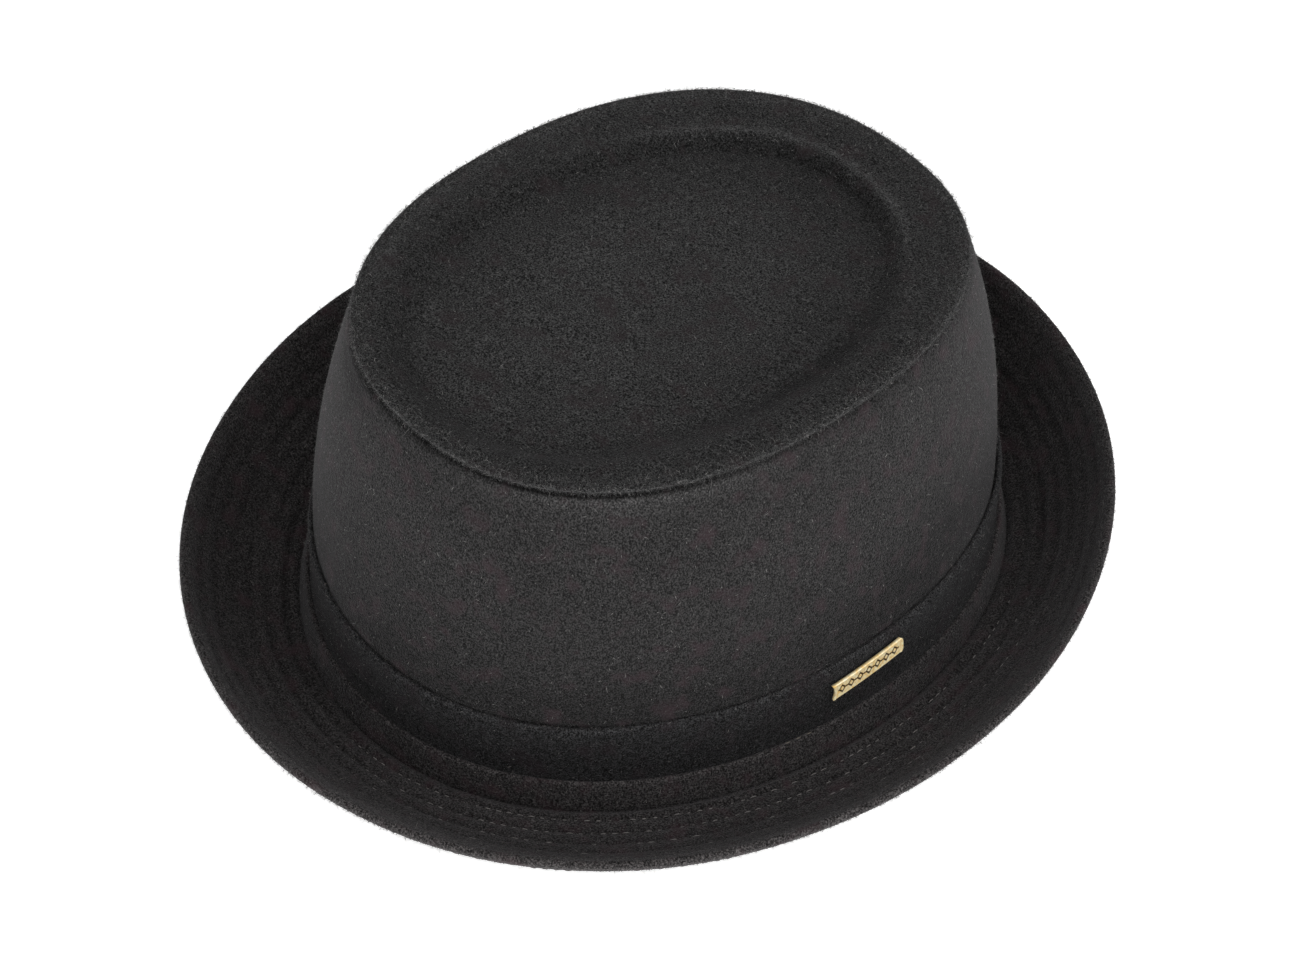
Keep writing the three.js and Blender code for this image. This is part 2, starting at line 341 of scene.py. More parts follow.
def crown_side_rings():
    """The side's rings in one loop: up the outer face, over the shoulder that turns in under the
    tip, and down the inner face. Also each ring's painted light and shade, which is darker on the
    hidden inner face, and the rings that show."""
    foot = valley_top(TURNS) + CROWN_FOOT
    height = mix(foot, seam_top(TURNS) - SHOULDER, rows(SIDE_ROWS))
    outer = crown_wall(TURNS, height, side_waver(height))
    turned = drawn_section(
        [(0, -SHOULDER), (0, -3), (-0.05, -1.8), (-0.15, -1.0), (-0.35, -0.55), (-0.6, -0.35),
         (-0.9, -0.3)],
        [(0, -SHOULDER), (0.15, -3.4), (0.2, -2.4), (-0.05, -1.5), (-0.5, -0.9), (-1.1, -0.5),
         (-1.9, -0.35)],
        SHOULDER_POINTS,
    )[1:]
    shoulder_height = seam_top(TURNS) + turned[..., 1]
    shoulder = crown_wall(TURNS, shoulder_height, turned[..., 0] + side_waver(shoulder_height))
    inner_height = mix(seam_top(TURNS) - 0.6, foot, rows(SIDE_INNER_ROWS))
    inner = crown_wall(TURNS, inner_height, -CROWN_CLOTH)
    # Painted shade where the shoulder turns in, hidden in the seam
    hidden = ease((0.1 - turned[..., 0]) / 0.6) * seam_pull(TURNS)
    tone = 0.5 - side_shade(np.concatenate([height, shoulder_height]))
    tone[len(height):] *= 1 - hidden
    painted_light_and_cut = np.concatenate([tone, np.full(inner_height.shape, 0.3)])
    seen = np.concatenate([outer, shoulder[:16]])
    return np.concatenate([outer, shoulder, inner]), painted_light_and_cut, seen


side_grid, side_painted_light, side_face = crown_side_rings()
crown_side = cloth_loop("crown_side_cloth", side_grid, side_painted_light)


# Crown tip

EDGE_INSET = 3.0


def rim_width(turn):
    """Width of the rim: the mean of the table's widths, and the first few waves round the
    hat that run closest to them."""
    widths = np.array(RIM_WIDTHS)
    places = np.arange(len(widths)) / len(widths) * 2 * np.pi
    width = widths.mean() + 0 * turn
    for k in range(1, RIM_WAVES + 1):
        along, across = widths @ np.cos(k * places), widths @ np.sin(k * places)
        width = width + (along * np.cos(k * turn) + across * np.sin(k * turn)) * 2 / len(widths)
    return width


def pinched(turn):
    """Where the fold into the recess is crisp, from 0 to 1: at the back, on the left."""
    return ease(-1.2 + 2.3 * np.cos(turn - math.radians(106)))


def in_front(turn):
    """Where the fall is long and shallow, from 0 to 1: in front, on the wearer's left."""
    return ease(np.cos(turn - math.radians(335)))


def fall_reach(turn):
    """Half the width of the fall into the recess: short where it is crisp, long in front."""
    return mix(3.4, 2.3, pinched(turn)) + 2.4 * in_front(turn)


def tip_rise(turn, inset):
    """Height of the rim and the fall over the seam at a distance in from it: the rim bows a
    little, a smooth step as wide as the fall's reach takes it down to the recess, and a crisp
    fold has a raised lip."""
    reach = fall_reach(turn)
    within = inset - rim_width(turn)
    bow = 0.3 * np.sin(np.pi * np.clip((inset - EDGE_INSET) / 9, 0, 1))
    lip = 0.4 * pinched(turn) * np.exp(-(((within + 1.2) / 1.4) ** 2))
    fall = RECESS_DEPTH * ease((within - 0.45 * FALL_WIDTH + reach) / (2 * reach))
    return RIM_RISE + bow + lip - fall


def tip_place(turn, inset, share, lift):
    """A point of the tip: on an oval set in from the seam, then brought towards the middle
    by its share, where the floor rises in a shallow dome and loses the seam's sway."""
    x, y = oval(turn, SEAM_HALF[0] - inset, SEAM_HALF[1] - inset, SEAM_SQUARENESS)
    level = mix(float(np.mean(seam_top(TURNS))), seam_top(turn), share)
    soft = waver(turn, 3 * inset, 0.35, 1.7) * ease((inset - EDGE_INSET) / 6) * share
    height = level + lift + FLOOR_DOME * (1 - share ** 2) + soft
    return np.stack(np.broadcast_arrays(x * share, (y - OVAL_Y) * share + OVAL_Y, height), -1)


def tip_tone(within, inset, share):
    """The tip's painted light and shade, at distances inside the rim and in from the seam, then
    over the floor: painted highlights on the rim's inner lip and on its outer edge on the wearer's
    right, painted shade in the crease and in two patches on the rim in front, and painted light
    over the floor that grows towards the front and its middle."""
    lip = 0.6 * pinched(TURNS) * np.exp(-(((within + 1.8) / 1.7) ** 2))
    edge = 0.34 * ease(-0.1 + 1.4 * np.cos(TURNS - math.radians(170)))
    edge = edge * np.exp(-(((inset - 4) / 3) ** 2)) - 0.24 * near_turn(262, 14, inset - 9.5, 3)
    edge = edge - 0.1 * near_turn(242, 14, inset - 15, 4)
    fold = 0.2 + 0.26 * near_turn(3, 14)
    fold = fold * np.exp(-(((within - 2.8 - in_front(TURNS)) / (3.2 + in_front(TURNS))) ** 2))
    brushed_and_lit = 0.13 * np.cos(TURNS - math.radians(262))
    return np.concatenate([
        0.45 + lip + edge - fold + brushed_and_lit * ease(within / 6 + 0.3),
        0.45 + brushed_and_lit * share + 0.23 * ease((1 - share) / 0.55),
    ])


def tip_face(first_inset, drop, count):
    """The rings of the tip's face from an inset to the middle, at a drop below the upper face, and
    each ring's painted light and shade."""
    within = mix(first_inset - rim_width(TURNS), FALL_WIDTH + 3, rows(count))
    inset = rim_width(TURNS) + within
    rim = tip_place(TURNS, inset, 1.0, tip_rise(TURNS, inset) - drop)
    share = np.linspace(1, 0, int(0.6 * count))[1:-1, None]
    edge_rise = tip_rise(TURNS, inset[-1:])
    floor = tip_place(TURNS, inset[-1:], share, mix(edge_rise.mean(), edge_rise, share) - drop)
    return np.concatenate([rim, floor]), tip_tone(within, inset, share)


def tip_fold():
    """The tip's sewn edge: from deep in the seam, out round a full fold and onto the rim."""
    turned = drawn_section(
        [(-0.9, 0), (-0.6, 0.1), (-0.32, 0.4), (-0.25, 0.9), (-0.6, 1.5), (-1.2, 1.9), (-2.0, 2.1),
         (-EDGE_INSET, RIM_RISE)],
        [(-1.7, 0), (-0.9, 0.12), (-0.25, 0.4), (0.15, 0.95), (0.1, 1.6), (-0.4, 2.1), (-1.3, 2.25),
         (-EDGE_INSET, RIM_RISE)],
        FOLD_POINTS,
    )[:-1]
    fold = tip_place(TURNS, -turned[..., 0], 1.0, turned[..., 1])
    # Painted shade where the fold is buried in the seam, and a painted highlight along its crest
    buried = ease((0.55 - turned[..., 1]) / 0.5)
    edge_highlight = np.exp(-(((turned[..., 1] - 1.1) / 0.5) ** 2)) * mix(0.5, 1, seam_pull(TURNS))
    return fold, 0.5 + 0.4 * edge_highlight - 0.5 * buried


def closed_disc(name, upper, lower, painted_light_and_cut):
    """A dished cloth with both faces: upper rings from the edge to the middle, lower rings
    the same way, joined at the edge and closed over a middle point on each face."""
    rings = np.concatenate([lower[::-1], upper])
    points = rings.reshape(-1, 3)
    faces = ring_faces(len(rings), AROUND, False).tolist()
    first, last = len(points), len(points) + 1
    hubs = np.stack([rings[0].mean(0), rings[-1].mean(0)])
    here = np.arange(AROUND)
    there = (here + 1) % AROUND
    end = (len(rings) - 1) * AROUND
    faces += np.stack([np.full(AROUND, first), there, here], -1).tolist()
    faces += np.stack([np.full(AROUND, last), end + here, end + there], -1).tolist()
    return lay_mesh(name, np.concatenate([points, hubs]), faces, np.r_[painted_light_and_cut.ravel(), 0.3, 0.5])


fold_grid, fold_painted_light = tip_fold()
face_grid, face_painted_light = tip_face(EDGE_INSET, 0.0, TIP_ROWS)
under_grid, under_painted_light = tip_face(EDGE_INSET, CROWN_CLOTH, TIP_UNDER_ROWS)
tip_upper = np.concatenate([fold_grid, face_grid])
# The tip's painted light and shade; the lower face gets darker painted shade
tip_painted_light = np.concatenate([under_painted_light[::-1] * 0.6, fold_painted_light, face_painted_light])
crown_tip = closed_disc("crown_tip_cloth", tip_upper, under_grid, tip_painted_light)


# Hat band

def band_line():
    """The band's section as heights above the valley and distances out of the wall: up the
    outside from the foot, which stands out behind the brim's lip, over the soft fold at the
    top, which lies against the crown, and down inside."""
    foot = LIP_HEIGHT - 0.6
    out = GAP + BAND_CLOTH
    return flowing([
        (foot, out + 1.1),
        (foot + 2.5, out + 0.95),
        (foot + 7, out + 0.25),
        (mix(foot, BAND_TOP, 0.6), out + 0.1),
        (BAND_TOP - 1.8, out + 0.15),
        (BAND_TOP - 0.7, out - 0.05),
        (BAND_TOP - 0.1, out - 0.7),
        (BAND_TOP, 0.4),
        (BAND_TOP - 0.6, 0.12),
        (BAND_TOP - 3.5, GAP),
        (mix(foot, BAND_TOP, 0.4), GAP),
        (foot, GAP),
    ], BAND_POINTS, 4)


band_section = band_line()
band_grid = crown_wall(
    TURNS,
    valley_top(TURNS) + band_section[:, :1] + waver(TURNS, band_section[:, :1], 0.25, 0.6),
    band_section[:, 1:] + 0.12 * np.sin(11 * TURNS + 0.2 * band_section[:, :1]),
)
band_height, band_out = band_section[:, :1], band_section[:, 1:]
# Painted light and shade on the band: darker towards its foot and in a patch on one side, a painted
# highlight along the top fold, and the hidden inner face darkest
band_painted_light = 0.3 + 0.24 * ease((band_height - 12) / 15) - 0.24 * near_turn(250, 20)
band_painted_light = band_painted_light + 0.35 * np.exp(-(((band_height - BAND_TOP + 0.8) / 1.4) ** 2))
band_painted_light = band_painted_light * (band_out > GAP)
hat_band = cloth_loop("hat_band_cloth", band_grid, band_painted_light)


# Brim

def ring_line():
    """The section of the sloped ring below the band, as heights above the valley and
    distances out of the wall: from the sole up the hidden inner face, over the full fold
    that laps the band's foot, and down the slope to the valley."""
    return flowing([
        (-1.4, 5.4), (2.6, 2.0), (5.3, 0.45), (7.4, GAP), (7.8, 1.2), (7.9, 2.5), (8.6, 2.85),
        (9.25, 3.25), (9.15, 3.95), (8.2, 4.4), (6.0, 5.0), (3.5, 5.8), (1.3, 6.6), (0.2, 7.0),
        (-0.2, 7.12),
    ], RING_POINTS, 3)


def brim_tone(share):
    """The painted light and shade of the brim's upper face at a share of its width: painted
    highlights at the edge and in the inner part at the front and on the wearer's right, and painted
    shade in the valley and in a patch farther out."""
    edge_highlight = np.exp(-((((1 - share) * brim_width(TURNS)) / 2.5) ** 2))
    from_root = share * brim_width(TURNS)
    valley = 0.3 * np.exp(-((from_root / 1.4) ** 2))
    inner = 0.14 * ease((14 - from_root) / 12) * open_sewn(TURNS) - valley - 0.03
    inner = inner + 0.16 * near_turn(262, 28) * ease((24 - from_root) / 16)
    inner = inner - 0.1 * near_turn(65, 16) * ease((from_root - 14) / 8)
    return 0.46 + 0.2 * edge_highlight + inner


def furrow_tone(share):
    """How much painted shade darkens the sewn rows, most where the stitches are sunk."""
    return (0.3 + 0.2 * (1 - open_sewn(TURNS))) * row_pull(TURNS, share)


def ring_tone(height, out):
    """The sloped ring's painted light and shade: a painted highlight where it laps the band,
    painted shade in the valley's crease and on both sides, and a little painted light at the front."""
    lap = 0.35 * np.exp(-(((height - 9.0) / 0.9) ** 2)) * (out > 3.2)
    crease = 0.3 * ease((1.6 - height) / 2.2)
    ring_side_shade = 0.42 * near_turn(246, 22) + 0.26 * near_turn(18, 12)
    ring_side_shade = ring_side_shade - 0.08 * near_turn(315, 25, height - 3, 3)
    return 0.45 + lap - crease - ring_side_shade


def brim_rings():
    """The brim's rings in one loop: the upper face from the valley to the edge, half a circle round
    the edge, the lower face back to the flat sole, and the ring. Also each ring's painted light and
    shade, and the upper face and the ring on their own."""
    share = rows(BRIM_ROWS)
    upper = brim_point(TURNS, share, quilting(TURNS, share))
    half = BRIM_CLOTH / 2
    around_edge = np.linspace(0, np.pi, 11)[1:-1, None]
    edge = brim_point(
        TURNS,
        1 + half * np.sin(around_edge) / brim_width(TURNS),
        half * (np.cos(around_edge) - 1),
    )
    low_share = np.linspace(1, 0, BRIM_UNDER_ROWS)[:, None]
    under_pull = row_pull(TURNS, low_share) * ease(low_share / 0.1)
    lower = brim_point(TURNS, low_share, under_pull - BRIM_CLOTH)
    ring = ring_line()
    height = np.maximum(valley_top(TURNS) + ring[:, :1], 0)
    loose = waver(TURNS, ring[:, :1], 0.2, 2.2) * (ring[:, :1] > 0.5)
    belt = crown_wall(TURNS, height, ring[:, 1:] + loose)
    # Painted highlight over the front of the brim's outer part, its edge and its lower face
    front = 1.1 * near_turn(311, 24)
    painted_light_and_cut = np.concatenate([
        brim_tone(share) + front * ease((share - 0.58) / 0.25) - furrow_tone(share),
        0.66 + front + 0 * edge[..., 2],
        0.5 - 0.3 * row_pull(TURNS, low_share) + front * ease((low_share - 0.7) / 0.2),
        ring_tone(ring[:, :1], ring[:, 1:]),
    ])
    return np.concatenate([upper, edge, lower, belt]), painted_light_and_cut, upper, belt


brim_grid, brim_painted_light, brim_upper, brim_belt = brim_rings()
brim = cloth_loop("brim_cloth", brim_grid[::-1], brim_painted_light[::-1])


# Stitches

# Each is a bead of thread: how many rings it has along it, and points in a ring
BEAD_STATIONS = 4
BEAD_SIDES = 4

# How far the brim's rows stand out of the nap, from the edge to the valley
ROW_PROUD = (-0.1, -0.08, -0.06, 0.08, 0.2, 0.26)


def sewn_row(line, normal, pitch, fill, radius, proud, seed, between=(0, 1)):
    """Points and faces of one row of stitches along a closed line, or of the stitches between
    two shares of its length. A stitch is as long as fill times the pitch, rises as a parabola
    over the cloth and tapers as a half ellipse into it at both ends. Each is sunk in the nap
    by its own random depth."""
    rng = np.random.default_rng(seed)
    steps = np.linalg.norm(np.roll(line, -1, 0) - line, axis=1)
    length = steps.sum()
    count = int(round(length / pitch))
    travelled = np.r_[0, np.cumsum(steps)]
    stations = np.linspace(-1, 1, BEAD_STATIONS)
    starts = (np.arange(count) + 0.5) * length / count
    starts = starts[(starts >= between[0] * length) & (starts <= between[1] * length)][:, None]
    count = len(starts)
    where = (starts + stations * fill * pitch / 2) % length
    closed = np.concatenate([line, line[:1]])
    lift = np.concatenate([normal, normal[:1]])
    centre = np.stack([np.interp(where, travelled, closed[:, i]) for i in range(3)], -1)
    up = np.stack([np.interp(where, travelled, lift[:, i]) for i in range(3)], -1)
    along = np.gradient(centre, axis=1)
    along /= np.linalg.norm(along, axis=-1, keepdims=True)
    aside = np.cross(along, up)
    sunk = radius * rng.uniform(0.0, 2.2, (count, 1, 1))
    centre = centre + up * (proud * (1 - stations ** 2)[:, None] - sunk)
    size = radius * np.sqrt(1 - 0.92 * stations ** 2)
    angle = np.arange(BEAD_SIDES) / BEAD_SIDES * 2 * np.pi
    ring = (np.cos(angle)[:, None] * aside[:, :, None] + np.sin(angle)[:, None] * up[:, :, None])
    points = centre[:, :, None] + ring * size[:, None, None]
    beads = np.arange(count)[:, None] * BEAD_STATIONS * BEAD_SIDES
    first = beads[..., None] + np.arange(BEAD_STATIONS - 1)[:, None] * BEAD_SIDES
    after = first + BEAD_SIDES
    here = np.arange(BEAD_SIDES)
    there = (here + 1) % BEAD_SIDES
    sides = np.stack([first + here, after + here, after + there, first + there], -1)
    last = beads + (BEAD_STATIONS - 1) * BEAD_SIDES
    caps = [(beads + here).tolist(), (last + here[::-1]).tolist()]
    return points.reshape(-1, 3), sides.reshape(-1, 4).tolist(), caps[0] + caps[1]


def stitching(name, sewn):
    """One piece from several rows of stitches."""
    points, faces, start = [], [], 0
    for row_points, sides, caps in sewn:
        points.append(row_points)
        faces += [[i + start for i in face] for face in sides + caps]
        start += len(row_points)
    return lay_mesh(name, np.concatenate(points), faces)


FINE_TURNS = np.linspace(0, 2 * np.pi, 2000, endpoint=False)


def brim_row(k, lower):
    """A row of stitches on the brim, by its number from the edge. Those near the valley lie
    open on the nap, and the outer ones are sunk in it."""
    share = 1 - (ROW_MARGIN + k * ROW_SPACING) / brim_width(FINE_TURNS)
    pull = row_pull(FINE_TURNS, share)
    buried = 0.4 * (1 - open_sewn(FINE_TURNS))
    lift = pull - BRIM_CLOTH if lower else quilting(FINE_TURNS, share) - buried
    line = brim_point(FINE_TURNS, share, lift)
    normal = brim_point(FINE_TURNS, share, lift + (-1 if lower else 1)) - line
    normal /= np.linalg.norm(normal, axis=-1, keepdims=True)
    proud = 0.1 if lower else ROW_PROUD[k]
    return sewn_row(line, normal, 3.1, 0.66, 0.16, proud, 30 + k)


def tip_topstitch():
    """The fine row sewn through the tip just inside its seam."""
    inset = EDGE_INSET
    line = tip_place(FINE_TURNS, inset, 1.0, tip_rise(FINE_TURNS, inset))
    up = np.broadcast_to([0.0, 0.0, 1.0], line.shape)
    return sewn_row(line, up, 3.0, 0.7, 0.12, 0.0, 40)


def lap_stitches():
    """Three stitches of pale thread that show where the brim's fold laps the band's foot."""
    height = valley_top(FINE_TURNS) + 9.2
    line = crown_wall(FINE_TURNS, height, 3.75)
    normal = crown_wall(FINE_TURNS, height + 0.7, 4.45) - line
    normal /= np.linalg.norm(normal, axis=-1, keepdims=True)
    return sewn_row(line, normal, 3.4, 0.5, 0.13, 0.1, 41, between=(0.944, 0.963))


brim_stitches = stitching("brim_stitches", [
    brim_row(k, lower) for lower in (False, True) for k in range(len(ROW_DEPTHS))
])
tip_stitches = stitching("crown_tip_stitches", [tip_topstitch()])
lap_thread = stitching("brim_lap_stitches", [lap_stitches()])


# Loose wool fibres

# Wool is 0.02 to 0.03 mm thick: it is drawn three times as wide, so that it shows
FIBRE_HALF = 0.045
BEND_SHARE = 0.55


def nap(name, grid, weight, count, length, lift, comb, seed):
    """Loose fibres over a cloth face. Each starts at a random point of a random cell, chosen
    by the cell's area times its weight, and leaves along the face's normal and the comb
    direction, which is given along the rows and round the hat. It is a narrow kite of two
    triangles: it widens to its bend, and from there it leans over and ends in a point."""
    rng = np.random.default_rng(seed)
    here = grid[:-1]
    right = np.roll(grid, -1, 1)[:-1]
    above = grid[1:]
    corner = np.roll(grid, -1, 1)[1:]
    normal = np.cross(corner - here, above - right)
    area = np.linalg.norm(normal, axis=-1)
    chance = (area * weight[:-1]).ravel()
    cell = rng.choice(len(chance), count, p=chance / chance.sum())
    r, c = np.divmod(cell, grid.shape[1])
    u, v = rng.random((2, count, 1))
    start = mix(mix(here[r, c], right[r, c], u), mix(above[r, c], corner[r, c], u), v)
    out = normal[r, c] / area[r, c][:, None]
    along = above[r, c] - here[r, c]
    along /= np.linalg.norm(along, axis=-1, keepdims=True)
    aside = np.cross(out, along)
    spread = rng.normal(0, 0.75, (2, count, 1))
    lean = along * (comb[0] + spread[0]) + aside * (comb[1] + spread[1])
    rise = np.abs(rng.normal(lift, 0.35 * lift, (count, 1)))
    first = out * rise + lean
    first /= np.linalg.norm(first, axis=-1, keepdims=True)
    second = first + 0.6 * lean * rng.random((count, 1)) - out * rise * 0.7
    second /= np.linalg.norm(second, axis=-1, keepdims=True)
    size = length * rng.lognormal(0, 0.35, (count, 1))
    root = start - out * 0.15
    bend = root + first * size * BEND_SHARE
    tip = bend + second * size * (1 - BEND_SHARE)
    side = np.cross(first, out + rng.normal(0, 0.6, (count, 3)))
    side /= np.linalg.norm(side, axis=-1, keepdims=True)
    half = FIBRE_HALF * rng.uniform(0.8, 1.3, (count, 1))
    corners = [root, bend + side * half, bend - side * half, tip]
    points = np.stack(corners, 1).reshape(-1, 3)
    base = np.arange(count)[:, None] * 4
    return lay_mesh(name, points, np.concatenate([base + [0, 1, 2], base + [2, 1, 3]]))


def plain(grid):
    """The same weight for fibres over a whole face."""
    return np.ones(grid.shape[:2])


# More fibres stand on the brim's edge, the tip's fold and the band's top
edge_weight = 1 + 5 * np.exp(-(((1 - rows(BRIM_ROWS)) * brim_width(TURNS) / 2.0) ** 2))
edge_grid = brim_grid[BRIM_ROWS - 4:BRIM_ROWS + 12]
tip_fold_rings = len(fold_grid) + 3
tip_weight = plain(tip_upper)
tip_weight[:tip_fold_rings] = 3
tip_edge = tip_upper[:tip_fold_rings + 2]
shown = np.argmax(band_height) + 3
band_outer = band_grid[:shown]
band_weight = 1 + 12 * np.exp(-(((band_height[:shown] - BAND_TOP) / 1.2) ** 2))
band_weight = np.repeat(band_weight, AROUND, 1)

# The part of the sloped ring that shows: from just inside its lap down to the valley
belt_outer = brim_belt[np.argmax(brim_belt[:, 0, 2]) - 3:]

# Name, face, weight, count, length in millimetres, lift, comb and seed
CHARCOAL_NAP = [
    ("crown_side_nap", side_face, plain(side_face), 60000, 1.0, 0.35, (-0.9, 0.0), 11),
    ("crown_tip_nap", tip_upper, tip_weight, 54000, 0.9, 0.5, (0.0, 0.0), 12),
    ("crown_edge_nap", tip_edge, plain(tip_edge), 16000, 1.6, 1.2, (0.0, 0.0), 17),
]
BLACK_NAP = [
    ("brim_nap", brim_upper[::-1], edge_weight[::-1], 42000, 0.9, 0.5, (0.0, 0.2), 13),
    ("brim_edge_nap", edge_grid[::-1], plain(edge_grid), 24000, 0.95, 0.8, (0.0, 0.0), 14),
    ("hat_band_nap", band_outer, band_weight, 18000, 0.9, 0.5, (0.0, 0.3), 15),
    ("brim_ring_nap", belt_outer[::-1], plain(belt_outer), 12000, 0.8, 0.6, (0.0, 0.2), 16),
]
crown_naps = [nap(*made) for made in CHARCOAL_NAP]
brim_naps = [nap(*made) for made in BLACK_NAP]


# Gilt plate

PLATE_HALF = (13.3, 2.9)
PLATE_THICK = 1.2
PLATE_AHEAD = 4.3
PLATE_UP = 0.62
PLATE_TILT = 4.8
LOZENGES = 7
LOZENGE_STEP = 3.3


def plate_relief(x, y):
    """Height of the plate's face over its field, and how deep it is cut, from 0 to 1. Raised
    lines run along the top and the ends, and the field has a cut row of small lozenges,
    spaced evenly, with a dot between each two."""
    top = PLATE_HALF[1] - y
    end = PLATE_HALF[0] - np.abs(x)
    low = PLATE_HALF[1] + y
    raised = np.maximum(ease((0.75 - end) / 0.25), ease((0.9 - top) / 0.25))
    raised = np.maximum(raised, 0.5 * ease((0.35 - low) / 0.2))
    groove = np.exp(-(((top - 0.62) / 0.12) ** 2))
    bevel = ease((0.25 - np.minimum(np.minimum(top, low), end)) / 0.25)
    across = (x + LOZENGE_STEP / 2) % LOZENGE_STEP - LOZENGE_STEP / 2
    middle = y + 0.25
    lozenge = np.abs(np.abs(across) / 1.05 + np.abs(middle) / 1.3 - 1) * 0.75
    dot = np.hypot(np.abs(across) - LOZENGE_STEP / 2, middle) - 0.16
    field = np.abs(x) < LOZENGES / 2 * LOZENGE_STEP
    cut = ease((0.34 - np.minimum(lozenge, dot)) / 0.18) * field
    return 0.3 * raised - 0.12 * groove - 0.25 * bevel - 0.16 * cut, cut


def plate_seat():
    """Where the plate lies: its middle, and its directions along, up and out of the band."""
    turn = np.array(math.asin(-PLATE_AHEAD / BASE_HALF[0]))
    height = valley_top(turn) + mix(LIP_HEIGHT + GAP, BAND_TOP, PLATE_UP)
    out = GAP + BAND_CLOTH + GAP + 0.15
    seat = crown_wall(turn, height, out)
    along = crown_wall(turn + 0.02, height, out) - crown_wall(turn - 0.02, height, out)
    up = crown_wall(turn, height + 1, out) - crown_wall(turn, height - 1, out)
    facing = np.cross(along, up)
    facing /= np.linalg.norm(facing)
    along /= np.linalg.norm(along)
    up = np.cross(facing, along)
    tilt = math.radians(PLATE_TILT)
    return (seat, along * math.cos(tilt) + up * math.sin(tilt),
            up * math.cos(tilt) - along * math.sin(tilt), facing)


def gilt_plate():
    """The plate as a height field on a grid, bent a little with the band, with its ends a
    little hollow. Rows of the grid run over the face, down the sides and under the back."""
    columns, lines = (np.linspace(-1, 1, count) for count in PLATE_POINTS)
    x, y = np.meshgrid(columns, lines, indexing="ij")
    relief, cut = plate_relief(x * PLATE_HALF[0], y * PLATE_HALF[1])
    hollow = 0.75 * (1 - y ** 2) * ease((-0.8 - x) / 0.2)
    rounded = 0.9 * y ** 4 * ease((x - 0.8) / 0.2)
    face_x = x * PLATE_HALF[0] + hollow - rounded
    bend = 0.35 * (1 - x ** 2)
    face = np.stack([face_x, y * PLATE_HALF[1], PLATE_THICK - 0.45 + relief + bend], -1)
    back = np.stack([face_x * 0.985, y * PLATE_HALF[1] * 0.96, bend], -1)
    seat, along, up, facing = plate_seat()
    points = np.concatenate([face.reshape(-1, 3), back.reshape(-1, 3)])
    placed = seat + points @ np.stack([along, up, facing])
    many, wide = x.shape
    index = np.arange(many * wide).reshape(many, wide)
    front = np.stack([index[:-1, :-1], index[1:, :-1], index[1:, 1:], index[:-1, 1:]], -1)
    behind = front[..., ::-1] + many * wide
    rim = np.r_[index[:, 0], index[-1, 1:], index[-2::-1, -1], index[0, -2:0:-1]]
    after = np.roll(rim, -1)
    wall = np.stack([rim + many * wide, after + many * wide, after, rim], -1)
    faces = np.concatenate([front.reshape(-1, 4), behind.reshape(-1, 4), wall])
    cut = np.r_[cut.ravel(), np.zeros(many * wide)]
    return lay_mesh("band_plate_gilt", placed, faces, cut)


band_plate = gilt_plate()


# Materials

def colour(code):
    """An sRGB hex colour as linear red, green, blue and alpha."""
    parts = [int(code[i:i + 2], 16) / 255 for i in (1, 3, 5)]
    return [p / 12.92 if p <= 0.04045 else ((p + 0.055) / 1.055) ** 2.4 for p in parts] + [1.0]


def add(tree, kind, settings=None, inputs=None):
    """Adds a node with its settings. An input is a number, a colour or another node's output."""
    made = tree.nodes.new(kind)
    for name, value in (settings or {}).items():
        setattr(made, name, value)
    for socket, value in (inputs or {}).items():
        if isinstance(value, bpy.types.NodeSocket):
            tree.links.new(value, made.inputs[socket])
        else:
            made.inputs[socket].default_value = value
    return made


def blank(name):
    """A new material with an empty node tree and its output."""
    material = bpy.data.materials.new(name)
    material.use_nodes = True
    material.node_tree.nodes.clear()
    return material, material.node_tree, add(material.node_tree, "ShaderNodeOutputMaterial")


def noise(tree, vector, period, detail=2.0, roughness=0.5):
    """Noise whose features repeat about every period, in millimetres."""
    return add(tree, "ShaderNodeTexNoise", inputs={
        "Vector": vector, "Scale": 1 / (period * MM), "Detail": detail, "Roughness": roughness,
    }).outputs["Fac"]


def ramp(tree, value, low, high, to_low=0.0, to_high=1.0):
    """A value carried from one range to another, and held at its ends."""
    return add(tree, "ShaderNodeMapRange", inputs={
        "Value": value, "From Min": low, "From Max": high, "To Min": to_low, "To Max": to_high,
    }).outputs["Result"]


def maths(tree, operation, a, b):
    """One sum of two values, or of the first alone where the operation takes only one."""
    return add(tree, "ShaderNodeMath", {"operation": operation}, {0: a, 1: b}).outputs[0]


def blend(tree, share, low, high):
    """A colour the share of the way from low to high."""
    return add(tree, "ShaderNodeMix", {"data_type": "RGBA"}, {
        "Factor": share, "A": low, "B": high,
    }).outputs["Result"]


def strands(tree, vector, period):
    """Thin curly lines, like single fibres: 1 where a noise crosses its middle value, and 0
    a little way off it."""
    off_middle = maths(tree, "SUBTRACT", noise(tree, vector, period, 1.0), 0.5)
    distance = maths(tree, "ABSOLUTE", off_middle, 0.0)
    return ramp(tree, distance, 0.0, 0.05, 1.0, 0.0)


